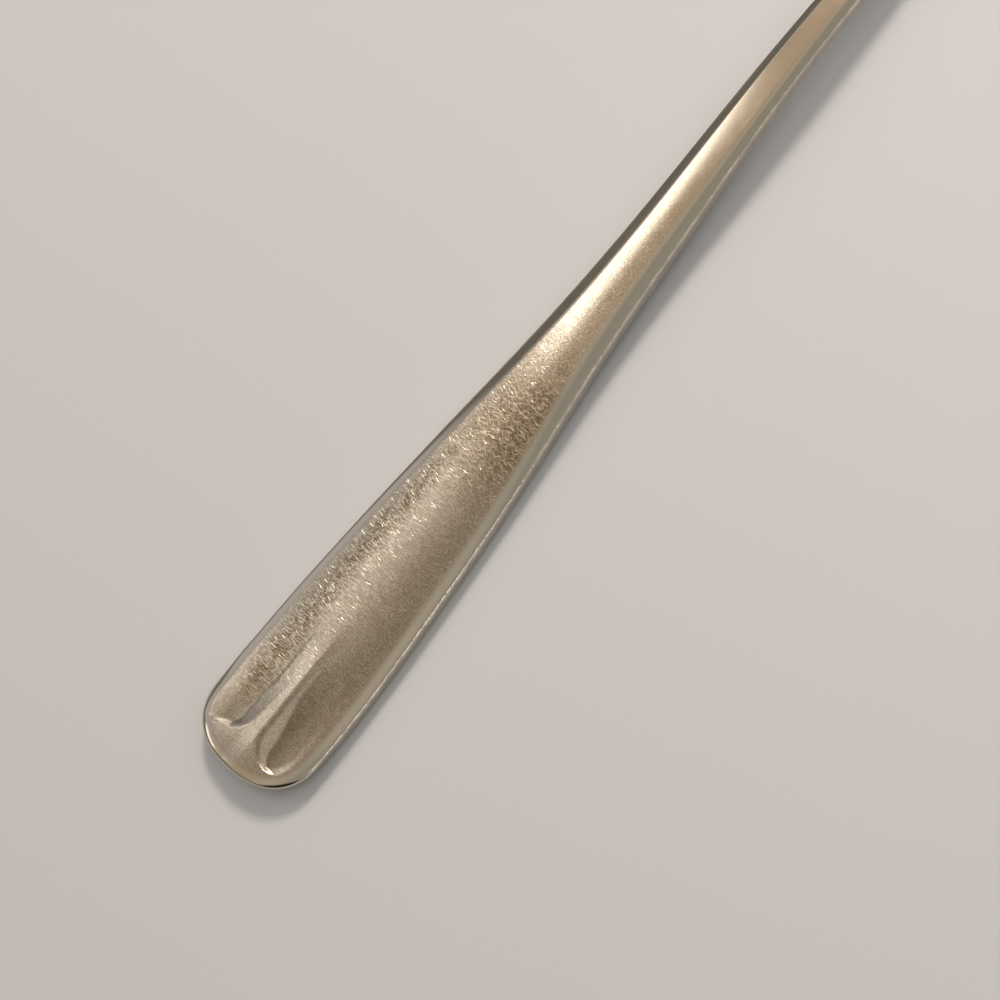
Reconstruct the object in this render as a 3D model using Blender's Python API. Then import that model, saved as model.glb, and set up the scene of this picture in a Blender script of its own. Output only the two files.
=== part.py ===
# Three-tined cocktail fork, stamped from one blank of stainless steel, coined and polished.
# It lies face up on its handle's belly and the heel of its palm, with the tines towards +X.
# One piece of metal: its regions are separate solids on one rigid body, parted by a hairline.

import math

import bmesh
import bpy
import numpy as np

MM = 0.001  # sizes below are in millimetres, the model is in metres
PARTING = 0.3  # hairline between neighbouring regions

# Stations along the fork, from the handle's end
LENGTH = 142.0
HANDLE_END = 52.0
STEM_END = 98.0
SLOT_ROOT = 116.5
BELLY = (13.0, 27.0)  # stretch of the handle's back that lies flat
NECK = 91.0  # slimmest point, where the shoulders begin
HEEL = (109.0, 116.0)  # stretch of the palm's back that lies flat
SHOULDER_END = 118.0

# Half widths, seen from above, and the handle's rounded end
HANDLE_HALF = 6.0
NECK_HALF = 1.4
END_ROUND = 4.9
END_POWER = 2.3
END_LIFT = 0.9
END_LIFT_POWER = 2.2

# Coined relief on the handle end: two scoops that leave a tapering ridge with a spreading foot
SCOOP_DEPTH = 0.24
SCOOP_WALL = 0.35
SCOOP_WALL_SPREAD = 0.1  # how much wider the wall grows per millimetre along the handle
SCOOP_CREASE = 0.2
SCOOP_FLOOR = 2.2  # distance from the middle line where the floor begins to rise again
SCOOP_OUTER = 5.6
SCOOP_FADE = (5.5, 16.5)
RIDGE_HALF = 0.95
RIDGE_FOOT = 2.9
RIDGE_LENGTH = 8.5
RIDGE_POWER = 1.3
RIDGE_WIDEST = 1.3  # limit of the taper towards the handle's end
FLARE_HALF = 0.87  # the ridge's foot spreads into the end band
FLARE_AT = 2.63
FLARE_LENGTH = 0.54

# Tines
TINE_HALF = 1.2  # middle tine at its root
TINE_TIP_HALF = 0.68
SLOT_WIDTH = 1.9
SLOT_FLARE = 0.75  # how much wider a slot is at the tips
HEAD_HALF = 5.5
HEAD_TAPER = 0.75  # how far each outer tine draws in towards the tips
HEAD_TAPER_POWER = 1.5
TINE_LIFT = 5.4
TINE_LIFT_POWER = 1.9
POINT_ROUND = 2.6
POINT_POWER = 1.9
TINE_CROWN = 0.05
TINE_CROWN_RUN = 6.0
TINE_ROOT = SLOT_ROOT + SLOT_WIDTH / 2

# Section: share of the lower half that is side wall, its draft, and how far the back's edge rounds in
WALL_SHARE = 0.62
TIP_WALL_SHARE = 0.12
TIP_UNDERCUT = 1.05  # the handle's tip overhangs its back
UNDERCUT_END = 9.0
WALL_DRAFT = 0.1
BACK_ROUND = 0.55
RIM_STEPS = (0.0, 0.35, 0.7)
BACK_STEPS = (0, 30, 60, 90)
RIM_SHARE = 0.4  # widest rim, as a share of a tine's half width

# Spacing of the sections along each region, and faces across them
TIP_ROWS = 16
RELIEF_END = 17.0
RELIEF_PITCH = 0.45
HANDLE_PITCH = 2.0
HANDLE_FACES = 30
STEM_PITCH = 2.0
STEM_FACES = 6
PALM_PITCH = 1.0
PALM_FACES = 12
TINE_PITCH = 2.0
TINE_FACES = 4
POINT_ROWS = 7
SLOT_SIDES = 24
CUTTER_HEIGHT = 20.0
SHARP_ANGLE = 35.0
WELD = 1e-7  # metres


def spline(*stations):
    """Smooth curve through (station, value) pairs, level at both ends and held beyond them."""
    at, value = np.array(stations, float).T
    step = np.diff(at)
    rise = np.diff(value) / step
    system = np.eye(len(at))
    target = np.zeros(len(at))
    for i in range(1, len(at) - 1):
        before, after = 1 / step[i - 1], 1 / step[i]
        system[i, i - 1 : i + 2] = before, 2 * (before + after), after
        target[i] = 3 * (rise[i - 1] * before + rise[i] * after)
    slope = np.linalg.solve(system, target)

    def curve(x):
        x = min(max(x, at[0]), at[-1])
        i = min(int(np.searchsorted(at, x, side="right")) - 1, len(step) - 1)
        t = (x - at[i]) / step[i]
        start = (1 + 2 * t) * (1 - t) ** 2 * value[i] + t * (1 - t) ** 2 * step[i] * slope[i]
        end = t * t * (3 - 2 * t) * value[i + 1] + t * t * (t - 1) * step[i] * slope[i + 1]
        return float(start + end)

    return curve


# Plan: handle tapering into the stem, then the shoulders of the head
handle_half = spline(
    (6.5, HANDLE_HALF), (20.5, 5.44), (33, 4.4), (45, 3.07), (57.5, 2.25), (78, 1.55), (NECK, NECK_HALF)
)
shoulder_half = spline((NECK, NECK_HALF), (102.5, 2.75), (111, 5.15), (SHOULDER_END, HEAD_HALF))

# Side view: the stem arches clear of the table between belly and heel
arch = spline((BELLY[1], 0), (41, 0.5), (57.5, 1.35), (73, 2.45), (90, 1.6), (HEEL[0], 0))

# Section: rim bevel along both edges, depth below the arris, and crown (or dish) of the face
rim_width = spline(
    (5, 1.1), (25, 1.15), (46, 1.3), (66, 0.95), (80, 0.8), (100, 0.6), (112, 0.5), (LENGTH, 0.3)
)
rim_rise = spline(
    (5, 0.22), (22, 0.23), (38, 0.34), (52, 0.42), (66, 0.38), (80, 0.34), (112, 0.25), (LENGTH, 0.18)
)
depth_below = spline((0, 1.45), (13, 1.55), (73, 1.6), (95, 1.5), (112, 1.1), (LENGTH, 0.5))
crown = spline(
    (5, 0.5), (15, 0.57), (24, 0.57), (36, 0.36), (50, 0.27), (60, 0.13), (68, 0.03), (78, 0.03),
    (95, 0.09), (110, -0.16), (117, -0.1), (124, 0), (LENGTH, 0)
)
undercut = spline((1, TIP_UNDERCUT), (UNDERCUT_END, 0))
wall_share = spline((1, TIP_WALL_SHARE), (UNDERCUT_END, WALL_SHARE))


def ease(t):
    """0 to 1 with level ends."""
    t = min(max(t, 0.0), 1.0)
    return t * t * (3 - 2 * t)


def underside(x):
    """Height of the back above the table."""
    if x < BELLY[0]:
        return END_LIFT * ((BELLY[0] - x) / BELLY[0]) ** END_LIFT_POWER
    if x < BELLY[1] or HEEL[0] < x < HEEL[1]:
        return 0.0
    if x < HEEL[0]:
        return arch(x)
    return TINE_LIFT * ((x - HEEL[1]) / (LENGTH - HEEL[1])) ** TINE_LIFT_POWER


def arris(x):
    """Height of the edge line where the rim meets the side wall."""
    return underside(x) + depth_below(x)


def half_width(x):
    if x < NECK:
        return handle_half(x)
    if x < SHOULDER_END:
        return shoulder_half(x)
    along = (x - SHOULDER_END) / (LENGTH - SHOULDER_END)
    return HEAD_HALF - HEAD_TAPER * along**HEAD_TAPER_POWER


def outward(x, y):
    """0 on the fork's middle line, 1 on its outline, round the handle's end as well."""
    end = max(0.0, (END_ROUND - x) / END_ROUND) ** END_POWER
    side = (abs(y) / half_width(x)) ** END_POWER
    return min(1.0, (end + side) ** (1 / END_POWER))


def scoop(x, y):
    """Depth of the two scoops on the handle end."""
    taper = min(max(1 - (x - RIDGE_FOOT) / RIDGE_LENGTH, 0.0), RIDGE_WIDEST)
    flare = FLARE_HALF * math.exp((FLARE_AT - x) / FLARE_LENGTH)
    ridge = RIDGE_HALF * taper**RIDGE_POWER + flare
    inside = max(0.0, abs(y) - ridge) / math.hypot(1, flare / FLARE_LENGTH)
    wall = SCOOP_WALL + SCOOP_WALL_SPREAD * max(0.0, x - RIDGE_FOOT)
    drop = 1 - math.exp(SCOOP_CREASE - math.hypot(inside / wall, SCOOP_CREASE))
    rise = 1 - ease((abs(y) - SCOOP_FLOOR) / (SCOOP_OUTER - SCOOP_FLOOR))
    fade = 1 - ease((x - SCOOP_FADE[0]) / (SCOOP_FADE[1] - SCOOP_FADE[0]))
    return SCOOP_DEPTH * drop * rise * fade


def side_edges(x):
    """Left and right edge at one station, each as a point and the direction in from the edge."""
    half = half_width(x)
    return (x, half, 0, -1), (x, -half, 0, 1)


def rounded_end(angle, reach, half, power):
    """Left edge of a rounded end: distance in from its tip, distance out from its axis, inward direction."""
    far, near = math.cos(angle), math.sin(angle)
    inward = far ** (2 / power) if angle < math.pi / 2 else 0.0
    outward = near ** (2 / power)
    normal = np.array([inward ** (power - 1) / reach, outward ** (power - 1) / half])
    normal /= np.linalg.norm(normal)
    return reach * (1 - inward), half * outward, normal


def handle_end_edges(angle):
    x, y, normal = rounded_end(angle, END_ROUND, HANDLE_HALF, END_POWER)
    return (x, y, normal[0], -normal[1]), (x, -y, normal[0], normal[1])


def tine_span(index, x):
    """Left and right side of tine -1, 0 or 1 at one station."""
    t = (x - TINE_ROOT) / (LENGTH - TINE_ROOT)
    middle = TINE_HALF + (TINE_TIP_HALF - TINE_HALF) * t
    if index == 0:
        return middle, -middle
    inner = middle + SLOT_WIDTH + SLOT_FLARE * t
    outer = half_width(x)
    return (outer, inner) if index > 0 else (-inner, -outer)


def tine_edges(index, x):
    left, right = tine_span(index, x)
    return (x, left, 0, -1), (x, right, 0, 1)


def point_edges(index, angle):
    """Edges of a tine's rounded point."""
    left, right = tine_span(index, LENGTH - POINT_ROUND)
    middle = (left + right) / 2
    x, y, normal = rounded_end(angle, POINT_ROUND, (left - right) / 2, POINT_POWER)
    x = LENGTH - x
    return (x, middle + y, -normal[0], -normal[1]), (x, middle - y, -normal[0], normal[1])


def section(edges, face_steps, rim_limit=math.inf, own_crown=0.0):
    """Closed ring of points round the fork at one pair of edges: rims and face, then walls and back."""

    def inset(edge, distance):
        return edge[0] + distance * edge[2], edge[1] + distance * edge[3]

    def top(x, y, rolled):
        return arris(x) + rim_rise(x) * rolled + crown(x) * (1 - outward(x, y) ** 2) - scoop(x, y)

    def rim_point(edge, share):
        x, y = inset(edge, share * rim)
        return x, y, top(x, y, math.sin(share * math.pi / 2))

    def back_point(edge, degrees):
        turn = math.radians(degrees)
        x, y = inset(edge, WALL_DRAFT + back_round * (1 - math.cos(turn)))
        share = upright + (1 - upright) * math.sin(turn)
        return x, y, underside(x) + depth_below(x) * (1 - share)

    left, right = edges
    rim = min(rim_width(left[0]), rim_limit)
    back_round = min(BACK_ROUND + undercut(left[0]), rim_limit)
    upright = wall_share(left[0])
    ring = [rim_point(left, share) for share in RIM_STEPS]
    from_left, from_right = np.array(inset(left, rim)), np.array(inset(right, rim))
    for i in range(face_steps + 1):
        t = i / face_steps
        x, y = from_left * (1 - t) + from_right * t
        raised = own_crown * ease((x - SLOT_ROOT) / TINE_CROWN_RUN) * (1 - (2 * t - 1) ** 2)
        ring.append((x, y, top(x, y, 1) + raised))
    ring += [rim_point(right, share) for share in reversed(RIM_STEPS)]
    ring += [back_point(right, degrees) for degrees in BACK_STEPS]
    ring += [back_point(left, degrees) for degrees in reversed(BACK_STEPS)]
    return ring


def stations(start, end, pitch):
    return np.linspace(start, end, max(2, round((end - start) / pitch) + 1))


def steel(name, color, roughness):
    material = bpy.data.materials.new(name)
    material.use_nodes = True
    shader = material.node_tree.nodes["Principled BSDF"]
    shader.inputs["Base Color"].default_value = (*color, 1)
    shader.inputs["Metallic"].default_value = 1
    shader.inputs["Roughness"].default_value = roughness
    return material


def loft(name, rings, material, closed_start=True, closed_end=True):
    """Solid through a row of rings. An end that comes to a point needs no cap."""
    start = rings[-1][0][0] if closed_end and not closed_start else rings[0][0][0]
    mesh = bpy.data.meshes.new(name)
    bm = bmesh.new()
    rows = [[bm.verts.new(((x - start) * MM, y * MM, z * MM)) for x, y, z in ring] for ring in rings]
    for one, two in zip(rows, rows[1:]):
        for i in range(len(one)):
            bm.faces.new((one[i - 1], one[i], two[i], two[i - 1]))
    if closed_start:
        bm.faces.new(rows[0])
    if closed_end:
        bm.faces.new(rows[-1])
    bmesh.ops.remove_doubles(bm, verts=bm.verts[:], dist=WELD)
    bmesh.ops.recalc_face_normals(bm, faces=bm.faces[:])
    bm.to_mesh(mesh)
    bm.free()
    mesh.shade_smooth()
    mesh.set_sharp_from_angle(angle=math.radians(SHARP_ANGLE))
    mesh.materials.append(material)
    solid = bpy.data.objects.new(name, mesh)
    solid.location.x = (start - LENGTH / 2) * MM
    solid.parent = origin
    fork.objects.link(solid)
    return solid


def make_handle():
    angles = np.linspace(0, math.pi / 2, TIP_ROWS + 1)
    edges = [handle_end_edges(angle) for angle in angles]
    edges += [side_edges(x) for x in stations(END_ROUND, RELIEF_END, RELIEF_PITCH)[1:]]
    edges += [side_edges(x) for x in stations(RELIEF_END, HANDLE_END - PARTING / 2, HANDLE_PITCH)[1:]]
    rings = [section(pair, HANDLE_FACES) for pair in edges]
    loft("handle", rings, steel("worn_steel", (0.55, 0.5, 0.44), 0.32), closed_start=False)


def make_stem():
    edges = [side_edges(x) for x in stations(HANDLE_END + PARTING / 2, STEM_END - PARTING / 2, STEM_PITCH)]
    rings = [section(pair, STEM_FACES) for pair in edges]
    loft("stem", rings, steel("stem_steel", (0.57, 0.53, 0.47), 0.25))


def make_palm():
    edges = [side_edges(x) for x in stations(STEM_END + PARTING / 2, TINE_ROOT - PARTING / 2, PALM_PITCH)]
    rings = [section(pair, PALM_FACES) for pair in edges]
    palm = loft("palm", rings, steel("palm_steel", (0.58, 0.54, 0.49), 0.24))
    for side, name in ((-1, "right"), (1, "left")):
        cut_slot_root(palm, side * (TINE_HALF + SLOT_WIDTH / 2), f"slot_root_{name}")


def cut_slot_root(palm, y, name):
    """Round root of one slot between two tines."""
    bm = bmesh.new()
    radius = SLOT_WIDTH / 2 * MM
    depth = CUTTER_HEIGHT * MM
    bmesh.ops.create_cone(bm, cap_ends=True, segments=SLOT_SIDES, radius1=radius, radius2=radius, depth=depth)
    mesh = bpy.data.meshes.new(name)
    bm.to_mesh(mesh)
    bm.free()
    cutter = bpy.data.objects.new(name, mesh)
    cutter.location = ((TINE_ROOT - LENGTH / 2) * MM, y * MM, 0)
    cutter.hide_render = True
    cutter.display_type = "WIRE"
    cutters.objects.link(cutter)
    cut = palm.modifiers.new(name, "BOOLEAN")
    cut.operation = "DIFFERENCE"
    cut.solver = "EXACT"
    cut.object = cutter


def make_tine(index, name):
    along = stations(TINE_ROOT + PARTING / 2, LENGTH - POINT_ROUND, TINE_PITCH)
    edges = [tine_edges(index, x) for x in along]
    edges += [point_edges(index, angle) for angle in np.linspace(math.pi / 2, 0, POINT_ROWS + 1)[1:]]
    left, right = tine_span(index, LENGTH - POINT_ROUND)
    rim_limit = RIM_SHARE * (left - right) / 2
    rings = [section(pair, TINE_FACES, rim_limit, TINE_CROWN) for pair in edges]
    loft(name, rings, steel(f"{name}_steel", (0.6, 0.56, 0.51), 0.22), closed_end=False)


for leftover in list(bpy.data.objects):
    bpy.data.objects.remove(leftover)
fork = bpy.data.collections.new("cocktail_fork")
cutters = bpy.data.collections.new("cutters")
bpy.context.scene.collection.children.link(fork)
bpy.context.scene.collection.children.link(cutters)
origin = bpy.data.objects.new("fork_origin", None)
fork.objects.link(origin)

make_handle()
make_stem()
make_palm()
for tine, tine_name in ((1, "tine_left"), (0, "tine_middle"), (-1, "tine_right")):
    make_tine(tine, tine_name)
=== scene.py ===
import math

import bmesh
import bpy
import numpy as np
from mathutils import Matrix, Vector


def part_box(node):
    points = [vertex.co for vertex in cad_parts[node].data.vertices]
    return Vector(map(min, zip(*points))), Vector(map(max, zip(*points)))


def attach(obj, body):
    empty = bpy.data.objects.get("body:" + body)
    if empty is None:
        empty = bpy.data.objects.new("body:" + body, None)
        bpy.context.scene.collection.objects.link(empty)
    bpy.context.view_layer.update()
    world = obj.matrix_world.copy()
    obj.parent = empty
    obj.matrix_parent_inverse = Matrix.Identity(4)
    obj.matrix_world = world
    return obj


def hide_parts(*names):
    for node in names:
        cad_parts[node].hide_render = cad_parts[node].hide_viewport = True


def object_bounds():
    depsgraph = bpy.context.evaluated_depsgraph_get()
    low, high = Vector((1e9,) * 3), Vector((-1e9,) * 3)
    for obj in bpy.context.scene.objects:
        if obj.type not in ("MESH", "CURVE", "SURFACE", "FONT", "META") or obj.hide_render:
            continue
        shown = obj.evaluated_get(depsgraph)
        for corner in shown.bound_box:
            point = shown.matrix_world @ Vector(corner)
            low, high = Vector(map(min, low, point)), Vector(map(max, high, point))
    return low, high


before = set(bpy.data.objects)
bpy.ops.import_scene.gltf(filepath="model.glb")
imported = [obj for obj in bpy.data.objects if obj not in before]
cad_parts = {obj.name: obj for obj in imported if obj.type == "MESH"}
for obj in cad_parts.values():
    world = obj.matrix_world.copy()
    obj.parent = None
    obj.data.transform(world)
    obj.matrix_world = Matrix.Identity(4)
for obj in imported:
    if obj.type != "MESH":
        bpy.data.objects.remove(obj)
cadLow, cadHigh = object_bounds()  # box of the CAD part, before anything else is added
mm = 0.001
length = (cadHigh.x - cadLow.x) / mm
print("frame loaded, fork length", round(length, 1), "mm")


def linearColor(hexCode):
    channels = [int(hexCode[i:i + 2], 16) / 255 for i in (1, 3, 5)]
    return [c / 12.92 if c <= 0.04045 else ((c + 0.055) / 1.055) ** 2.4 for c in channels] + [1.0]


# adds one node and gives back one of its outputs: inputs take a value or another node's output
def addNode(tree, kind, inputs=None, out=0, **settings):
    node = tree.nodes.new(kind)
    for key, value in settings.items():
        setattr(node, key, value)
    for key, value in (inputs or {}).items():
        if isinstance(value, bpy.types.NodeSocket):
            tree.links.new(value, node.inputs[key])
        else:
            node.inputs[key].default_value = value
    return node.outputs[out]


def newMaterial(name):
    material = bpy.data.materials.new(name)
    material.use_nodes = True
    tree = material.node_tree
    return material, tree, tree.nodes["Principled BSDF"]


def ease(t):
    t = np.clip(t, 0.0, 1.0)
    return t * t * (3 - 2 * t)


# smooth curve through (station, value) pairs, level at both ends
def spline(*stations):
    at, value = np.array(stations, float).T
    step = np.diff(at)
    rise = np.diff(value) / step
    system = np.eye(len(at))
    target = np.zeros(len(at))
    for i in range(1, len(at) - 1):
        before, after = 1 / step[i - 1], 1 / step[i]
        system[i, i - 1:i + 2] = before, 2 * (before + after), after
        target[i] = 3 * (rise[i - 1] * before + rise[i] * after)
    slope = np.linalg.solve(system, target)

    def curve(x):
        x = np.clip(x, at[0], at[-1])
        i = np.clip(np.searchsorted(at, x, side="right") - 1, 0, len(step) - 1)
        t = (x - at[i]) / step[i]
        start = (1 + 2 * t) * (1 - t) ** 2 * value[i] + t * (1 - t) ** 2 * step[i] * slope[i]
        end = t * t * (3 - 2 * t) * value[i + 1] + t * t * (t - 1) * step[i] * slope[i + 1]
        return start + end

    return curve


# the fork: millimetres, x from the handle's end, y to its left, z up from the table
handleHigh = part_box("handle")[1]
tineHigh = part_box("tine_middle")[1]
fork = {
    "handleHalf": handleHigh.y / mm, "endRound": 4.9, "endPower": 2.3,
    "endLift": 0.9, "endLiftPower": 2.2, "bellyStart": 13.0, "bellyEnd": 27.0,
    "neck": 91.0, "neckHalf": 1.4, "shoulderEnd": 118.0,
    "headHalf": 5.5, "headTaper": 0.75, "headTaperPower": 1.5,
    "heelStart": 109.0, "heelEnd": 116.0, "tineLift": 5.4, "tineLiftPower": 1.9,
    "slotRoot": 116.5, "slotWidth": 1.9, "slotFlare": 0.75, "slotRim": 0.42,
    "tineHalf": tineHigh.y / mm, "tineTipHalf": 0.68, "tineTipRim": 0.28,
    "tineCrown": 0.05, "tineCrownRun": 6.0, "pointRound": 2.6, "pointPower": 1.9,
    "wallDraft": 0.1, "tipDrop": 0.3, "creaseLeft": 0.2, "creaseRight": 0.55,
    "edgeDrop": 0.035, "edgeWidth": 0.22,  # the edge line, worn down a little
    # groove where the rim meets the face
    "grooveDepth": 0.03, "grooveWidth": 0.8, "grooveStart": 3.0, "grooveRun": 5.0, "grooveRim": 1.5,
    "grooveFade": (34.0, 50.0),
}
tineRoot = fork["slotRoot"] + fork["slotWidth"] / 2
slotStart = fork["slotRoot"] - fork["slotRim"]
slotMiddle = fork["tineHalf"] + fork["slotWidth"] / 2
handleHalf = spline((6.5, fork["handleHalf"]), (20.5, 5.44), (33, 4.4), (45, 3.07), (57.5, 2.25),
                    (78, 1.55), (fork["neck"], fork["neckHalf"]))
shoulderHalf = spline((fork["neck"], fork["neckHalf"]), (102.5, 2.75), (111, 5.15),
                      (fork["shoulderEnd"], fork["headHalf"]))
arch = spline((fork["bellyEnd"], 0), (41, 0.5), (57.5, 1.35), (73, 2.45), (90, 1.6), (fork["heelStart"], 0))
rimWidth = spline((5, 1.1), (25, 1.15), (46, 1.3), (66, 0.95), (80, 0.8), (100, 0.6),
                  (slotStart, fork["slotRim"]))
rimRise = spline((5, 0.13), (22, 0.14), (30, 0.23), (38, 0.37), (46, 0.41), (54, 0.42), (66, 0.38),
                 (80, 0.34), (112, 0.25), (142, 0.18))
# the rim's shape: 1 rolled, 0 bevelled
rimSoft = spline((5, 0.6), (20, 0.5), (32, 0.3), (42, 0.03), (95, 0.15), (112, 0.9), (142, 1))
backInset = spline((90, 0.65), (slotStart, fork["slotRim"]))
undercut = spline((1, 1.05), (9, 0))  # the handle's tip overhangs
wallShare = spline((1, 0.35), (9, 0.8))  # upright part of the side
edgeLip = spline((27, 0.1), (35, 0.02))  # radius of the edge line
tipRoll = spline((2, 1), (8, 0))  # where the edge rolls over round the handle's tip
depthBelow = spline((0, 1.45), (13, 1.55), (73, 1.6), (95, 1.5), (112, 1.1), (142, 0.5))
crown = spline((5, 0.64), (15, 0.58), (24, 0.57), (36, 0.36), (50, 0.27), (60, 0.13), (68, 0.03), (78, 0.03),
               (95, 0.09), (110, -0.16), (117, -0.1), (124, 0), (142, 0))


def underside(x):
    front = np.clip(fork["bellyStart"] - x, 0, None) / fork["bellyStart"]
    tail = np.clip(x - fork["heelEnd"], 0, None) / (length - fork["heelEnd"])
    middle = np.where((x > fork["bellyEnd"]) & (x < fork["heelStart"]), arch(x), 0.0)
    lifted = fork["endLift"] * front ** fork["endLiftPower"] + middle
    return lifted + fork["tineLift"] * tail ** fork["tineLiftPower"]


# edge line above the underside
def arrisHeight(x):
    return depthBelow(x) - fork["tipDrop"] * tipRoll(x)


def halfWidth(x):
    along = np.clip((x - fork["shoulderEnd"]) / (length - fork["shoulderEnd"]), 0, 1)
    head = shoulderHalf(x) - fork["headTaper"] * along ** fork["headTaperPower"]
    return np.where(x < fork["neck"], handleHalf(x), head)


# 0 on the fork's middle line, 1 on its outline, round the handle's end as well
def outward(x, y):
    power = fork["endPower"]
    end = np.clip((fork["endRound"] - x) / fork["endRound"], 0, 1) ** power
    return np.clip((end + (np.abs(y) / halfWidth(x)) ** power) ** (1 / power), 0, 1)


def tineSpan(index, x):
    t = (x - tineRoot) / (length - tineRoot)
    middle = fork["tineHalf"] + (fork["tineTipHalf"] - fork["tineHalf"]) * t
    if index == 0:
        return middle, -middle
    inner = middle + fork["slotWidth"] + fork["slotFlare"] * t
    outer = halfWidth(x)
    return (outer, inner) if index > 0 else (-inner, -outer)


# coined relief of the handle end: two scoops that leave a ridge, wide at the end band and tapering to a crest
relief = {
    # left and right of the ridge
    "ridgeHalf": (0.72, 0.42), "ridgeLength": (5.6, 30.0), "footAt": (2.09, 1.86), "incline": (0.36, 0.0),
    "corner": (1.5, 2.4), "wall": (0.8, 1.95), "wallSpread": (0.18, -0.22), "footWall": (0.5, 0.34),
    # line: strength of the painted shade along the top of each scoop's wall; the last one on this line: the
    # painted highlight on the right scoop's wall under the ridge
    "rounded": (0.2, 0.1), "line": (0.2, 0.65), "paintedWallHighlight": (0, 1),
    "rimStart": (0.86, 0.7), "rimEnd": (0.98, 0.88), "wallPower": (1.2, 1.5),
    # both sides alike
    "depth": 0.26, "ridgeFoot": 2.9, "ridgeSpread": 1.3, "ridgeTilt": 0.085, "footFrom": 3.55,
    "leastWall": 0.8, "floorStart": 2.2, "outer": 5.6, "fadeStart": 5.5, "fadeEnd": 16.5,
    "lineAt": 0.33, "lineWidth": 0.2,
    # shares of the wall where the darker floor and the painted highlight on the wall begin, and what they
    # need to come up
    "floorFrom": 0.85, "floorRun": 0.3, "highlightFrom": 0.25, "highlightRun": 0.2,
}


# how deep the scoops are, and their tone: 1 darker on their floors and painted shade along the tops of their
# walls, -1 a painted highlight on the wall under the ridge
def scoops(x, y):
    def sided(name):
        return np.where(y > 0, *relief[name])

    corner, incline, rounded = sided("corner"), sided("incline"), sided("rounded")
    beyond = x - relief["ridgeFoot"]
    half = sided("ridgeHalf") * np.clip(1 - beyond / sided("ridgeLength"), 0, relief["ridgeSpread"])
    side = np.clip(corner - np.abs(y) + half, 0, None)
    foot = np.sqrt(1 - incline ** 2) * (x - sided("footAt")) + incline * (np.abs(y) - relief["footFrom"])
    foot = np.clip(corner - foot, 0, None)
    reach = np.hypot(side, foot)
    inside = np.clip(corner - reach, 0, None)
    wall = sided("wall") + sided("wallSpread") * np.clip(beyond, 0, None)
    wall = np.clip(wall, relief["leastWall"], None)
    wall = sided("footWall") + (wall - sided("footWall")) * side / np.maximum(reach, 1e-6)
    down = (np.sqrt(inside ** 2 + rounded ** 2) - rounded) / wall
    drop = 1 - np.clip(1 - down, 0, 1) ** sided("wallPower")
    rise = 1 - ease((np.abs(y) - relief["floorStart"]) / (relief["outer"] - relief["floorStart"]))
    clear = 1 - ease((outward(x, y) - sided("rimStart")) / (sided("rimEnd") - sided("rimStart")))
    fade = 1 - ease((x - relief["fadeStart"]) / (relief["fadeEnd"] - relief["fadeStart"]))
    right = relief["ridgeHalf"][1]
    leaning = relief["ridgeTilt"] * np.clip(y + right, 0, half + right)
    floor = ease((inside / wall - relief["floorFrom"]) / relief["floorRun"])
    line = sided("line") * np.exp(-((inside - relief["lineAt"]) / relief["lineWidth"]) ** 2)
    paintedHighlight = sided("paintedWallHighlight") * ease((inside / wall - relief["highlightFrom"]) / relief["highlightRun"]) * (1 - floor)
    tone = np.maximum(floor * rise, line) - paintedHighlight
    return (relief["depth"] * drop * rise * clear + leaning) * fade, tone * fade * clear


# rounded end: distance in from its tip, distance out from its axis, inward normal
def roundedEnd(angle, reach, half, power):
    inward = np.clip(np.cos(angle), 0, 1) ** (2 / power)
    outwards = np.sin(angle) ** (2 / power)
    normal = np.stack([inward ** (power - 1) / reach, outwards ** (power - 1) / half])
    normal /= np.linalg.norm(normal, axis=0)
    return reach * (1 - inward), half * outwards, normal


# how finely the skin is cut: points round each curve, steps across, spacing along the fork in millimetres
facets = {
    "endPoints": 61, "slotPoints": 15, "tipPoints": 19, "lipPoints": 6, "rimPoints": 10, "backPoints": 9,
    "faceSteps": 28, "backSteps": 6, "tineSpacing": 0.4,
    "stretches": ((14, 0.11), (54, 0.35), (98, 0.4), (slotStart, 0.22)),  # how far each runs, and its spacing
    "weld": 1e-6, "sharpDegrees": 38,
}
lipTurns = np.radians(np.linspace(0, 90, facets["lipPoints"]))
rimSteps = np.linspace(0, 1, facets["rimPoints"])[1:-1]
backTurns = np.radians(np.linspace(0, 90, facets["backPoints"]))
# the measure edge: 0 on the middle line, 1 where the rim begins, then these two
arrisEdge, backEdge = 2, 3


def stationsBetween(start, end, spacing):
    return np.linspace(start, end, max(2, round((end - start) / spacing) + 1))


# rows of edge points (x, y, normal x, normal y), left and right, from the handle's tip to the slots
def bodyEdges():
    turn = np.linspace(0, math.pi / 2, facets["endPoints"])
    x, y, normal = roundedEnd(turn, fork["endRound"], fork["handleHalf"], fork["endPower"])
    left = [np.stack([x, y, normal[0], -normal[1]], 1)]
    start = fork["endRound"]
    for end, spacing in facets["stretches"]:
        at = stationsBetween(start, end, spacing)[1:]
        left.append(np.stack([at, halfWidth(at), 0 * at, 0 * at - 1], 1))
        start = end
    left = np.concatenate(left)
    return left, left * (1, -1, 1, -1)


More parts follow.
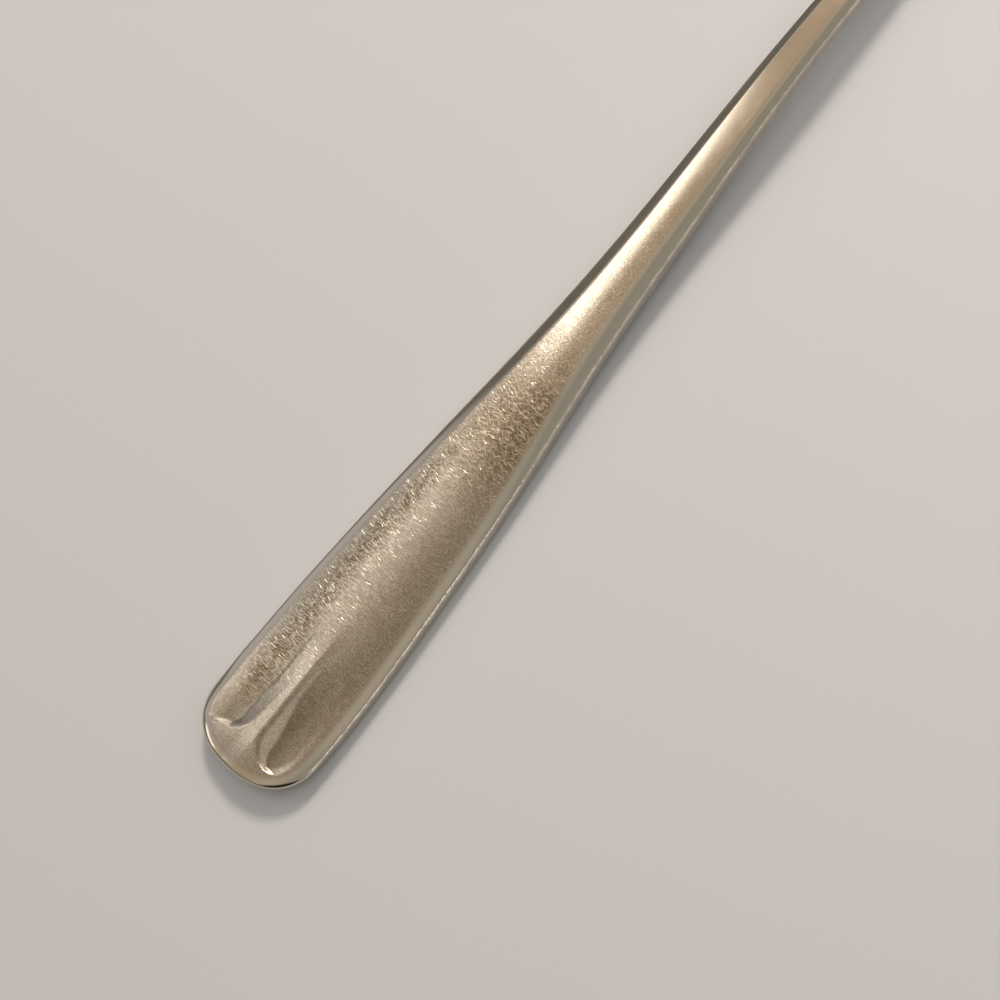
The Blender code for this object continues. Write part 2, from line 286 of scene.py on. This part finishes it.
# rows of one tine: round the slot's root, along its sides, then round its point
def tineEdges(index):
    turn = np.linspace(0, math.pi / 2, facets["slotPoints"])
    radius = fork["slotWidth"] / 2
    rootX = tineRoot - radius * np.cos(turn)
    outerX = tineRoot - (radius + fork["slotRim"]) * np.cos(turn)
    sides = []
    for side in (1, -1):
        if index == side:  # outer side of an outer tine follows the head's outline
            y = side * halfWidth(outerX)
            rows = np.stack([outerX, y, 0 * y, 0 * y - side], 1)
        else:
            slot = slotMiddle * (1 if index + 0.5 * side > 0 else -1)
            y = slot - side * radius * np.sin(turn)
            rows = np.stack([rootX, y, -np.cos(turn), -side * np.sin(turn)], 1)
        sides.append([rows])
    at = stationsBetween(tineRoot, length - fork["pointRound"], facets["tineSpacing"])[1:]
    for rows, y, side in zip(sides, tineSpan(index, at), (1, -1)):
        rows.append(np.stack([at, y, 0 * y, 0 * y - side], 1))
    leftY, rightY = tineSpan(index, at[-1])
    middleY = (leftY + rightY) / 2
    turn = np.linspace(math.pi / 2, 0, facets["tipPoints"])[1:]
    x, y, normal = roundedEnd(turn, fork["pointRound"], (leftY - rightY) / 2, fork["pointPower"])
    for rows, side in zip(sides, (1, -1)):
        rows.append(np.stack([length - x, middleY + side * y, -normal[0], -side * normal[1]], 1))
    return np.concatenate(sides[0]), np.concatenate(sides[1])


def inset(edge, distance):
    return edge[:, 0:1] + distance * edge[:, 2:3], edge[:, 1:2] + distance * edge[:, 3:4]


# points in from one edge, over to the other side and out to its edge, row by row
def pointsAcross(first, second, steps, inner, shares):
    firstX, firstY = inset(first, steps)
    secondX, secondY = inset(second, steps[:, ::-1])
    (ax, ay), (bx, by) = inset(first, inner), inset(second, inner)
    x = np.concatenate([firstX, ax * (1 - shares) + bx * shares, secondX], 1)
    y = np.concatenate([firstY, ay * (1 - shares) + by * shares, secondY], 1)
    return x, y


# rim, face and rim: x, y, z, then how far across, edge and the scoops' tone with its painted shade and
# highlight, which the steel's wear goes by
def faceRows(left, right, rim, shares, index):
    lip = edgeLip(left[:, 0:1])
    steps = np.concatenate([lip * (1 - np.cos(lipTurns)), lip + (rim - lip) * rimSteps], 1)
    x, y = pointsAcross(left, right, steps, rim, shares)
    inward = np.concatenate([steps, rim + 0 * shares, steps[:, ::-1]], 1)
    share = inward / rim

    soft = rimSoft(x)
    crease = np.where(y > 0, fork["creaseLeft"], fork["creaseRight"])
    bevel = (share - np.clip(share - 1 + crease, 0, None) ** 2 / (2 * crease)) / (1 - crease / 2)
    roll = soft * np.sin(share * math.pi / 2) + (1 - soft) * bevel
    roll = roll + tipRoll(x) * (np.sqrt(1 - (1 - share) ** 2) - roll)
    z = underside(x) + arrisHeight(x) + (rimRise(x) + fork["tipDrop"] * tipRoll(x)) * roll
    z = z - lip * (1 - np.sqrt(1 - np.clip(1 - inward / lip, 0, 1) ** 2))
    wide = outward(x, y)
    z = z + crown(x) * (1 - wide ** 2)
    if index is None:
        start, end = fork["grooveFade"]
        half = halfWidth(x)
        gap = (1 - wide) * half - rimWidth(x)
        fade = 1 - ease((x - start) / (end - start))
        z = z - fork["edgeDrop"] * fade * np.clip(1 - inward / fork["edgeWidth"], 0, 1) ** 2
        fade = fade * ease((x - fork["grooveStart"]) / fork["grooveRun"])
        groove = fork["grooveDepth"] * fade * np.exp(-(gap / fork["grooveWidth"]) ** 2)
        z = z - groove * ease(share * fork["grooveRim"])
        hollow, tone = scoops(x, y)
        z = z - hollow
        across = y / half
        edge = np.clip(wide / (1 - rimWidth(x) / half), 0, 1)
    else:
        tone = 0 * x
        across = np.concatenate([0 * steps + 1, 0 * rim + 1 - 2 * shares, 0 * steps - 1], 1)
        edge = np.abs(across)
        z = z + fork["tineCrown"] * ease((x - fork["slotRoot"]) / fork["tineCrownRun"]) * (1 - across ** 2)
    edge = np.where(share < 1, arrisEdge - share, edge)
    return np.stack([x, y, z, across, edge, tone], 2)


# wall, back and wall, in the same order of values
def backRows(left, right, back, shares):
    upright = wallShare(left[:, 0:1])
    drop = upright + (1 - upright) * np.sin(backTurns)
    steps = fork["wallDraft"] + (back - fork["wallDraft"]) * (1 - np.cos(backTurns))
    x, y = pointsAcross(right, left, steps, back, shares)
    drop = np.concatenate([drop, np.ones((len(left), shares.size)), drop[:, ::-1]], 1)
    z = underside(x) + arrisHeight(x) * (1 - drop)
    return np.stack([x, y, z, 0 * x, 0 * x + backEdge, 0 * x], 2)


# closed rings round the metal, one per row
def ringsAlong(left, right, rim, back, faceShares, backShares, index=None):
    top = faceRows(left, right, rim[:, None], faceShares, index)
    under = backRows(left, right, back[:, None], backShares[1:-1])
    return np.concatenate([top, under], 1)


# even steps across the face or the back, in three groups that run on into the three tines
def groupedShares(inner, steps):
    split = (inner - slotMiddle) / (2 * inner)
    marks = (0, split, 1 - split, 1)
    return np.concatenate([np.linspace(a, b, steps + 1)[:-1] for a, b in zip(marks, marks[1:])] + [[1.0]])


def buildFork():
    left, right = bodyEdges()
    at = left[:, 0]
    inner = halfWidth(slotStart) - fork["slotRim"]
    faceShares = groupedShares(inner, facets["faceSteps"])
    backShares = groupedShares(inner, facets["backSteps"])
    grids = [ringsAlong(left, right, rimWidth(at), backInset(at) + undercut(at), faceShares, backShares)]
    faceShares = np.linspace(0, 1, facets["faceSteps"] + 1)
    backShares = np.linspace(0, 1, facets["backSteps"] + 1)
    for index in (1, 0, -1):  # left, middle and right tine
        left, right = tineEdges(index)
        along = np.clip((left[:, 0] - tineRoot) / (length - tineRoot), 0, 1)
        rim = fork["slotRim"] + (fork["tineTipRim"] - fork["slotRim"]) * along
        grids.append(ringsAlong(left, right, rim, rim, faceShares, backShares, index))

    bm = bmesh.new()
    place = bm.verts.layers.float_vector.new("place")
    scooped = bm.verts.layers.float.new("scooped")
    for rings in grids:
        rows = []
        for ring in rings.tolist():
            row = []
            for x, y, z, across, edge, tone in ring:
                vert = bm.verts.new(((x - length / 2) * mm, y * mm, z * mm))
                vert[place] = (x, across, edge)
                vert[scooped] = tone
                row.append(vert)
            rows.append(row)
        for one, two in zip(rows, rows[1:]):
            for i in range(len(one)):
                bm.faces.new((one[i - 1], one[i], two[i], two[i - 1]))
    bmesh.ops.remove_doubles(bm, verts=bm.verts[:], dist=facets["weld"])
    bmesh.ops.recalc_face_normals(bm, faces=bm.faces[:])
    openEdges = sum(1 for edge in bm.edges if not edge.is_manifold)
    mesh = bpy.data.meshes.new("forkSkin")
    bm.to_mesh(mesh)
    bm.free()
    mesh.shade_smooth()
    mesh.set_sharp_from_angle(angle=math.radians(facets["sharpDegrees"]))
    skin = bpy.data.objects.new("forkSkin", mesh)
    bpy.context.scene.collection.objects.link(skin)
    print("fork skin:", len(mesh.polygons), "faces,", openEdges, "open edges")
    return skin


# stainless steel, stamped, polished and worn by years of use: a warm grey mirror gone satin on the handle,
# with fine scratches that catch the light and brown tarnish left along the inside of its rim
steel = {
    "polished": "#d2c8ba", "worn": "#a89e91", "tarnish": "#6b5945", "scoopTone": "#7f7667",
    # pale bare-metal tone of scratches and the edge line, made paler than the steel as painted glints and a
    # painted highlight
    "freshAndGlint": "#efe4d2", "filmTone": "#fffaf4",
    "roughPolished": 0.13, "roughSatin": 0.2, "roughWorn": 0.31, "roughScratch": 0.28, "roughSide": 0.34,
    "scratchTone": 1.0, "hairTone": 1.5,
    "grainBump": 0.0009, "hairBump": 0.011, "scratchBump": 0.013,  # millimetres
    # noise: size along the fork and across it in millimetres, detail
    "noises": {
        "grain": (0.13, 0.13, 2.0), "mottle": (0.16, 0.3, 2.0),
        "blotch": (1.6, 1.6, 3.0), "nick": (1.2, 3.0, 2.0),
    },
    "noiseRoughness": 0.65,
    # hairs of worn polish across the handle: degrees off straight across, width, length in millimetres,
    # drawn four times coarser than real ones, which are too fine to show
    "brushed": [(-9, 0.09, 0.7), (7, 0.09, 0.6)],
    "hairNoise": (0.55, 0.69),  # noise where a hair begins and where it is full
    # single strokes: spacing along the fork and across it, half width, half length, slant, its spread, share
    "scratches": [
        (0.3, 1.2, 0.033, 0.42, 0.1, 0.2, 0.4),
        (0.5, 1.0, 0.034, 0.32, 0.15, 0.3, 0.35),
        (1.1, 1.6, 0.03, 0.4, -0.1, 0.4, 0.5),
        (3.4, 3.6, 0.026, 1.3, -0.6, 0.9, 0.3),
    ],
    "tangle": [
        (0.3, 0.95, 0.048, 0.46, 0.1, 0.35, 0.9),
        (0.4, 0.85, 0.05, 0.42, -0.45, 0.4, 0.9),
        (0.5, 0.74, 0.052, 0.36, 0.7, 0.45, 0.85),
        (0.56, 0.66, 0.056, 0.3, -1.0, 0.5, 0.8),
        (0.26, 0.6, 0.04, 0.28, 0.3, 0.5, 0.8),
    ],
    # how far strokes stray from even rows, the faintest one, and the share of its length before it thins out
    "strokeScatter": 0.65, "strokeFaintest": 0.12, "strokeFull": 0.4,
    # masks: what is measured, where they begin, where they are full, least and most
    "masks": {
        # scoops' tone: darker floors with painted shade along the tops of their walls, and a painted
        # highlight in polished tone on the wall under the ridge
        "dim": ("scooped", 0, 1, 0, 1), "paintedWallHighlight": ("scooped", 0, -1, 0, 0.55),
        "wear": ("along", 47, 37, 0, 1), "satin": ("along", 75, 40, 0, 1),
        "inside": ("edge", 1.55, 0.85, 0, 1), "side": ("edge", 2.2, 2.8, 0, 1),
        "leftHalf": ("across", -0.5, 0.3, 0.3, 1), "strokeStart": ("along", 3, 11, 0.15, 1),
        "strokeEnd": ("along", 50, 40, 0.04, 1), "strokeInside": ("edge", 1.35, 0.95, 0, 1),
        "narrowStart": ("along", 26, 35, 0, 1), "narrowEnd": ("along", 48, 40, 0.12, 1),
        "narrowLeft": ("across", -0.35, 0.2, 0.7, 1), "narrowGone": ("along", 68, 54, 0, 1),
        "beforeNarrow": ("along", 40, 30, 0, 0.22), "grainedStart": ("along", 41, 46, 0, 0.28),
        "grainedEnd": ("along", 64, 50, 0, 1), "grainedRight": ("across", 0.35, 0.1, 0, 1),
        "bandStart": ("along", 2.5, 7, 0, 1), "bandEnd": ("along", 40, 30, 0, 1),
        "bandBroken": ("blotch", 0.28, 0.5, 0.75, 1), "bandRight": ("across", -0.6, 0, 0.35, 1),
        "bandShift": ("along", 20, 33, 0.17, 0.3), "hazeRight": ("across", 0.8, 0.3, 0.2, 1),
        "hazeStart": ("along", 26, 35, 0, 0.8), "hazeEnd": ("along", 47, 39, 0, 1),
        "patchAcross": ("across", 0.15, -0.2, 0, 0.8), "patchInside": ("edge", 1.0, 0.75, 0, 1),
        "patchStart": ("along", 31, 38, 0, 1), "patchEnd": ("along", 49, 42, 0, 1),
        "filmStart": ("along", 27, 37, 0, 1), "filmEnd": ("along", 98, 82, 0, 1),
        # edge line: drawn pale as metal rubbed bright by use and as a painted highlight, starting a little
        # from the tip and broken in places
        "arris": ("edge", 1.86, 1.96, 0, 1), "arrisBelow": ("edge", 2.6, 2.1, 0, 1),
        "arrisStart": ("along", 5, 9, 0, 1), "arrisBroken": ("nick", 0.4, 0.6, 0, 0.8),
        "mottled": ("mottle", 0.38, 0.53, 0.08, 1), "speckle": ("grain", 0.32, 0.68, 0.76, 1.24),
        "sheen": ("blotch", 0.3, 0.7, 0.88, 1.12),
    },
    # ring of tarnish: shares of the way from the middle line to the arris
    "ringStart": 0.18, "ringFull": (0.31, 0.38, 0.44), "ringEnd": 0.6,
    # masks multiplied together
    "products": {
        "worn": ("wear", "inside"), "satin": ("satin", "inside"),
        "narrow": ("narrowStart", "narrowEnd", "narrowGone", "narrowLeft", "strokeInside"),
        "grained": ("grainedStart", "grainedEnd", "grainedRight", "strokeInside"),
        "brush": ("leftHalf", "strokeStart", "beforeNarrow", "strokeInside"),
        "stroke": ("leftHalf", "strokeStart", "strokeEnd", "strokeInside"),
        "band": ("bandStart", "bandEnd", "bandBroken", "bandRight", "ring"),
        "haze": ("hazeStart", "hazeEnd", "hazeRight", "inside"),
        "patch": ("patchAcross", "patchStart", "patchEnd", "patchInside"),
        "film": ("filmStart", "filmEnd", "inside"),
        "rubbedEdgeHighlight": ("arris", "arrisBelow", "arrisStart", "arrisBroken"),
    },
}


# single straight strokes, 0 to 1 by how deep each is cut
def strokeMarks(tree, at, strokes):
    cuts = 0.0
    for pitch, run, halfWide, halfLong, slant, spread, share in strokes:
        laid = addNode(tree, "ShaderNodeVectorMath", {0: at, 1: (1 / pitch, 1 / run, 0), 2: (run, pitch, 0)},
                       operation="MULTIPLY_ADD")
        middle = addNode(tree, "ShaderNodeTexVoronoi",
                         {"Vector": laid, "Scale": 1.0, "Randomness": steel["strokeScatter"]},
                         out="Position", voronoi_dimensions="2D")
        chance = addNode(tree, "ShaderNodeSeparateColor", {0: middle.node.outputs["Color"]})
        gap = addNode(tree, "ShaderNodeVectorMath", {0: laid, 1: middle}, operation="SUBTRACT")
        gap = addNode(tree, "ShaderNodeVectorMath", {0: gap, 1: (pitch, run, 0)}, operation="MULTIPLY")
        gapAlong = addNode(tree, "ShaderNodeSeparateXYZ", {0: gap})
        gapAcross = gapAlong.node.outputs["Y"]
        lean = addNode(tree, "ShaderNodeMapRange",
                       {"Value": chance, "To Min": -slant - spread, "To Max": spread - slant})
        off = addNode(tree, "ShaderNodeMath", {0: gapAcross, 1: lean, 2: gapAlong}, operation="MULTIPLY_ADD")
        off = addNode(tree, "ShaderNodeMath", {0: off}, operation="ABSOLUTE")
        reach = addNode(tree, "ShaderNodeMath", {0: gapAcross}, operation="ABSOLUTE")
        mark = addNode(tree, "ShaderNodeMath", {0: chance.node.outputs["Green"], 1: 1 - share},
                       operation="GREATER_THAN")
        depth = addNode(tree, "ShaderNodeMapRange",
                        {"Value": chance.node.outputs["Blue"], "To Min": steel["strokeFaintest"]})
        mark = addNode(tree, "ShaderNodeMath", {0: mark, 1: depth}, operation="MULTIPLY")
        for distance, full, gone in ((off, 0.0, halfWide), (reach, steel["strokeFull"] * halfLong, halfLong)):
            inside = addNode(tree, "ShaderNodeMapRange",
                             {"Value": distance, "From Min": gone, "From Max": full})
            mark = addNode(tree, "ShaderNodeMath", {0: mark, 1: inside}, operation="MULTIPLY")
        cuts = addNode(tree, "ShaderNodeMath", {0: cuts, 1: mark}, operation="MAXIMUM")
    return cuts


# fine hairs that cross in a few directions, 0 to 1
def hairMarks(tree, at, hairs):
    none, full = steel["hairNoise"]
    marks = 0.0
    for degrees, wide, long in hairs:
        turned = addNode(tree, "ShaderNodeVectorRotate", {"Vector": at, "Angle": math.radians(degrees)},
                         rotation_type="Z_AXIS")
        scale = (1 / wide, 1 / long, 1 / long)
        laid = addNode(tree, "ShaderNodeVectorMath", {0: turned, 1: scale, 2: (degrees, 0, 0)},
                       operation="MULTIPLY_ADD")
        hair = addNode(tree, "ShaderNodeTexNoise", {"Vector": laid, "Scale": 1.0, "Detail": 0.0})
        hair = addNode(tree, "ShaderNodeMapRange", {"Value": hair, "From Min": none, "From Max": full})
        marks = addNode(tree, "ShaderNodeMath", {0: marks, 1: hair}, operation="MAXIMUM")
    return marks


# where the steel is worn, stained and scratched: one output for each measure, noise, mask and product
def steelMasks(tree, at):
    place = addNode(tree, "ShaderNodeAttribute", out="Vector", attribute_name="place")
    along = addNode(tree, "ShaderNodeSeparateXYZ", {0: place}, out="X")
    found = {"along": along, "across": along.node.outputs["Y"], "edge": along.node.outputs["Z"]}
    found["scooped"] = addNode(tree, "ShaderNodeAttribute", out="Fac", attribute_name="scooped")
    for name, (sizeAlong, sizeAcross, detail) in steel["noises"].items():
        scale = (1 / sizeAlong, 1 / sizeAcross, 1 / sizeAcross)
        laid = addNode(tree, "ShaderNodeVectorMath", {0: at, 1: scale}, operation="MULTIPLY")
        found[name] = addNode(tree, "ShaderNodeTexNoise",
                              {"Vector": laid, "Scale": 1.0, "Detail": detail,
                               "Roughness": steel["noiseRoughness"]})
    for name, (measure, start, full, least, most) in steel["masks"].items():
        found[name] = addNode(tree, "ShaderNodeMapRange",
                              {"Value": found[measure], "From Min": start, "From Max": full,
                               "To Min": least, "To Max": most}, interpolation_type="SMOOTHSTEP")

    # ring just inside the rim, a little to the right of the handle's outline
    stained = addNode(tree, "ShaderNodeMath", {0: found["across"], 1: found["bandShift"], 2: found["edge"]},
                      operation="MULTIPLY_ADD")
    stained = addNode(tree, "ShaderNodeMath", {0: stained, 1: 1 / arrisEdge}, operation="MULTIPLY")
    found["ring"] = addNode(tree, "ShaderNodeValToRGB", {"Fac": stained})
    ramp = found["ring"].node.color_ramp
    ramp.interpolation = "B_SPLINE"
    for stop, position in zip(ramp.elements, (steel["ringStart"], steel["ringEnd"])):
        stop.position, stop.color = position, (0, 0, 0, 1)
    for position in steel["ringFull"]:
        ramp.elements.new(position).color = (1, 1, 1, 1)
    for name, (first, *others) in steel["products"].items():
        found[name] = found[first]
        for other in others:
            found[name] = addNode(tree, "ShaderNodeMath", {0: found[name], 1: found[other]},
                                  operation="MULTIPLY")
    return found


def wornSteel():
    material, tree, shader = newMaterial("worn_polished_stainless")
    where = addNode(tree, "ShaderNodeTexCoord", out="Object")
    at = addNode(tree, "ShaderNodeVectorMath", {0: where, 1: (1 / mm,) * 3}, operation="MULTIPLY")
    found = steelMasks(tree, at)

    # hairs brushed across the left half, tangled where the handle narrows, and single deeper scratches; all
    # drawn in a pale tone, partly bare metal and partly painted glints, most on the left half where the light
    # falls
    cuts = addNode(tree, "ShaderNodeMath", {0: strokeMarks(tree, at, steel["scratches"]), 1: found["stroke"]},
                   operation="MULTIPLY")
    brushed = addNode(tree, "ShaderNodeMath", {0: hairMarks(tree, at, steel["brushed"]), 1: found["brush"]},
                      operation="MULTIPLY")
    tangled = addNode(tree, "ShaderNodeMath", {0: found["narrow"], 1: found["grained"]}, operation="MAXIMUM")
    tangle = addNode(tree, "ShaderNodeMath", {0: strokeMarks(tree, at, steel["tangle"]), 1: tangled},
                     operation="MULTIPLY")
    hairs = addNode(tree, "ShaderNodeMath", {0: brushed, 1: tangle}, operation="MAXIMUM")

    # tarnish: a broken band inside the rim, a patch on the right where the handle narrows, a haze over both
    stain = found["band"]
    for other, operation in (("patch", "MAXIMUM"), ("haze", "MAXIMUM"), ("mottled", "MULTIPLY"),
                             ("worn", "MULTIPLY")):
        stain = addNode(tree, "ShaderNodeMath", {0: stain, 1: found[other]}, operation=operation)
    # the pale tone of scratches and hairs: bare metal and painted glints
    shine = addNode(tree, "ShaderNodeMath", {0: cuts, 1: steel["scratchTone"]}, operation="MULTIPLY")
    shine = addNode(tree, "ShaderNodeMath", {0: hairs, 1: steel["hairTone"], 2: shine},
                    operation="MULTIPLY_ADD")
    # edge line in the pale tone: rubbed metal and a painted highlight
    shine = addNode(tree, "ShaderNodeMath", {0: shine, 1: found["rubbedEdgeHighlight"]}, operation="MAXIMUM")
    color = linearColor(steel["polished"])
    # tones in turn: wear; the scoops' darker floors and painted shade; their painted highlight; tarnish; pale
    # scratches and edge line, partly painted glints and highlight
    for share, tone in ((found["worn"], "worn"), (found["dim"], "scoopTone"), (found["paintedWallHighlight"], "polished"),
                        (stain, "tarnish"), (shine, "freshAndGlint")):
        color = addNode(tree, "ShaderNodeMix", {0: share, 6: color, 7: linearColor(steel[tone])}, out=2,
                        data_type="RGBA")
    for share, tone in ((found["film"], linearColor(steel["filmTone"])), (found["satin"], found["speckle"])):
        color = addNode(tree, "ShaderNodeMix", {0: share, 6: color, 7: tone}, out=2, data_type="RGBA",
                        blend_type="MULTIPLY")

    rough = steel["roughPolished"]
    for share, value in ((found["satin"], "roughSatin"), (found["worn"], "roughWorn"),
                         (found["side"], "roughSide"), (cuts, "roughScratch")):
        rough = addNode(tree, "ShaderNodeMix", {0: share, 2: rough, 3: steel[value]})
    rough = addNode(tree, "ShaderNodeMath", {0: rough, 1: found["sheen"]}, operation="MULTIPLY")

    surface = {}  # each bump lies on the one before it
    for height, distance in ((found["grain"], "grainBump"), (hairs, "hairBump"), (cuts, "scratchBump")):
        bump = {"Height": height, "Distance": steel[distance] * mm, "Strength": 1.0}
        surface = {"Normal": addNode(tree, "ShaderNodeBump", bump | surface, invert=True)}
    shader.inputs["Metallic"].default_value = 1
    for name, output in (("Base Color", color), ("Roughness", rough), ("Normal", surface["Normal"])):
        tree.links.new(output, shader.inputs[name])
    print("steel:", len(tree.nodes), "nodes")
    return material


skin = buildFork()
skin.data.materials.append(wornSteel())
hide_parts("handle", "stem", "palm", "tine_left", "tine_middle", "tine_right")
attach(skin, "root")

# table: matt white-painted board, slightly cool and paler towards its far edge,
# so it shows an even pale tone and a soft shadow
table = {"half": 1.5, "color": "#c5c4c7", "farColor": "#efeeef", "near": 0.14, "far": 0.8, "roughness": 0.7}
bm = bmesh.new()
bmesh.ops.create_grid(bm, x_segments=1, y_segments=1, size=table["half"])
floorMesh = bpy.data.meshes.new("tableTop")
bm.to_mesh(floorMesh)
bm.free()
floor = bpy.data.objects.new("tableTop", floorMesh)
bpy.context.scene.collection.objects.link(floor)
floorMaterial, floorTree, floorShader = newMaterial("matt_painted_board")
where = addNode(floorTree, "ShaderNodeTexCoord", out="Object")
away = addNode(floorTree, "ShaderNodeVectorMath", {0: where}, out="Value", operation="LENGTH")
away = addNode(floorTree, "ShaderNodeMapRange",
               {"Value": away, "From Min": table["near"], "From Max": table["far"]})
paint = addNode(floorTree, "ShaderNodeMix",
                {0: away, 6: linearColor(table["color"]), 7: linearColor(table["farColor"])},
                out=2, data_type="RGBA")
floorTree.links.new(paint, floorShader.inputs["Base Color"])
floorShader.inputs["Roughness"].default_value = table["roughness"]
floorMesh.materials.append(floorMaterial)
print("table done")

# studio: panels mirrored in the steel, and panels that light the table and cast the fork's shadow on it
aimAlong = -0.0398  # metres along the fork, the middle of the picture
lamps = {
    "keyPanel": {"towards": (0.53, 0.32, 0.74), "away": 0.5, "wide": 0.1, "tall": 0.1,
                 "watts": 0.95, "color": "#fff2e4", "lights": "steel"},
    "sidePanel": {"towards": (-0.02, 0.56, 0.83), "away": 1.0, "wide": 0.24, "tall": 0.24,
                  "watts": 0.4, "color": "#fcfbf9", "lights": "both"},
    "frontPanel": {"towards": (0.02, -0.93, 0.36), "away": 0.8, "wide": 0.3, "tall": 0.03,
                   "watts": 0.3, "color": "#ffffff", "lights": "steel"},
    "glintPanel": {"towards": (0.50, 0.58, 0.62), "away": 1.0, "wide": 0.28, "tall": 0.16,
                   "watts": 1.5, "color": "#fffaf0", "lights": "steel"},
    "leftStrip": {"towards": (-0.56, 0.7, 0.44), "away": 1.0, "wide": 0.3, "tall": 0.16,
                  "watts": 0.2, "color": "#fffdf8", "lights": "steel"},
    "rightStrip": {"towards": (0.66, -0.66, 0.33), "away": 1.0, "wide": 0.5, "tall": 0.16,
                   "watts": 0.45, "color": "#fffdf8", "lights": "steel"},
    "castPanel": {"towards": (0.72, 0.33, 0.74), "away": 0.5, "wide": 0.1, "tall": 0.1,
                  "watts": 1.62, "color": "#fff3e6", "lights": "table"},
    "stemPanel": {"towards": (0.735, -0.441, 0.515), "away": 0.136, "wide": 0.06, "tall": 0.06,
                  "watts": 0.0165, "color": "#f4f6f8", "lights": "table"},
    "skyPanel": {"towards": (0, -0.3, 1), "away": 1.0, "wide": 0.8, "tall": 0.8,
                 "watts": 1.8, "color": "#e6f0f4", "lights": "table"},
}
for name, lamp in lamps.items():
    light = bpy.data.lights.new(name, "AREA")
    light.shape = "RECTANGLE"
    light.size, light.size_y = lamp["wide"], lamp["tall"]
    light.energy = lamp["watts"]
    light.color = linearColor(lamp["color"])[:3]
    lampObject = bpy.data.objects.new(name, light)
    towards = Vector(lamp["towards"]).normalized()
    lampObject.location = Vector((aimAlong, 0, 0)) + towards * lamp["away"]
    lampObject.rotation_euler = towards.to_track_quat("Z", "Y").to_euler()
    bpy.context.scene.collection.objects.link(lampObject)
    lampObject.visible_glossy = lamp["lights"] != "table"
    lampObject.visible_diffuse = lamp["lights"] != "steel"
    lampObject.visible_camera = False

# the room from its right wall, over a warm ceiling, to its left wall, dim at the horizon all round
room = {
    "tones": ((0.0, "#b1aea6"), (0.25, "#a09f94"), (0.36, "#b5b1a8"), (0.5, "#c1b9aa"), (0.65, "#b7a894"),
              (0.73, "#c1b29e"), (0.82, "#c7c2b8"), (0.88, "#c6c3c2"), (1.0, "#c5c2c2")),
    # heights where each begins and where it is full
    "horizon": {"color": "#75736d", "start": 0.44, "full": 0.3},
    "skirting": {"color": "#aca69c", "start": 0.105, "full": 0.08},
    # how near to its heading
    "corner": {"color": "#24211c", "start": 0.82, "full": 0.93}, "cornerTowards": (-0.8, -0.55, 0.24),
}
world = bpy.data.worlds.new("room")
bpy.context.scene.world = world
world.use_nodes = True
roomTree = world.node_tree
heading = addNode(roomTree, "ShaderNodeTexCoord", out="Generated")
leftward = addNode(roomTree, "ShaderNodeSeparateXYZ", {0: heading}, out="Y")
height = leftward.node.outputs["Z"]
fromRight = addNode(roomTree, "ShaderNodeMapRange", {"Value": leftward, "From Min": -1.0})
tone = addNode(roomTree, "ShaderNodeValToRGB", {"Fac": fromRight})
ramp = tone.node.color_ramp
ramp.elements.remove(ramp.elements[1])
firstAt, firstColor = room["tones"][0]
ramp.elements[0].position, ramp.elements[0].color = firstAt, linearColor(firstColor)
for position, color in room["tones"][1:]:
    ramp.elements.new(position).color = linearColor(color)
nearness = addNode(roomTree, "ShaderNodeVectorMath",
                   {0: heading, 1: Vector(room["cornerTowards"]).normalized()},
                   out="Value", operation="DOT_PRODUCT")
for measure, name in ((height, "horizon"), (nearness, "corner"), (height, "skirting")):
    share = addNode(roomTree, "ShaderNodeMapRange",
                    {"Value": measure, "From Min": room[name]["start"], "From Max": room[name]["full"]},
                    interpolation_type="SMOOTHSTEP")
    tone = addNode(roomTree, "ShaderNodeMix", {0: share, 6: tone, 7: linearColor(room[name]["color"])},
                   out=2, data_type="RGBA")
roomTree.links.new(tone, roomTree.nodes["Background"].inputs["Color"])
print("light done")

# camera: above the handle and to its right, rolled so that the fork runs up the picture's diagonal
view = {"target": (aimAlong, -0.00294, 0), "azimuth": 0.0, "elevation": 65.0, "roll": -51.0, "away": 0.3,
        "sensor": 36.0, "lens": 131.34, "nearest": 0.01}
azimuth, elevation, roll = (math.radians(view[key]) for key in ("azimuth", "elevation", "roll"))
back = Vector((math.sin(azimuth) * math.cos(elevation), -math.cos(azimuth) * math.cos(elevation),
               math.sin(elevation)))
right = Vector((math.cos(azimuth), math.sin(azimuth), 0))
up = back.cross(right)
cameraData = bpy.data.cameras.new("camera")
cameraData.sensor_width = view["sensor"]
cameraData.lens = view["lens"]
cameraData.clip_start = view["nearest"]
camera = bpy.data.objects.new("camera", cameraData)
axes = Matrix((right * math.cos(roll) + up * math.sin(roll),
               up * math.cos(roll) - right * math.sin(roll), back))
place = Matrix.Translation(Vector(view["target"]) + back * view["away"])
camera.matrix_world = place @ axes.transposed().to_4x4()
bpy.context.scene.collection.objects.link(camera)
bpy.context.scene.camera = camera
bpy.context.scene.view_settings.view_transform = "Standard"
print("camera done")
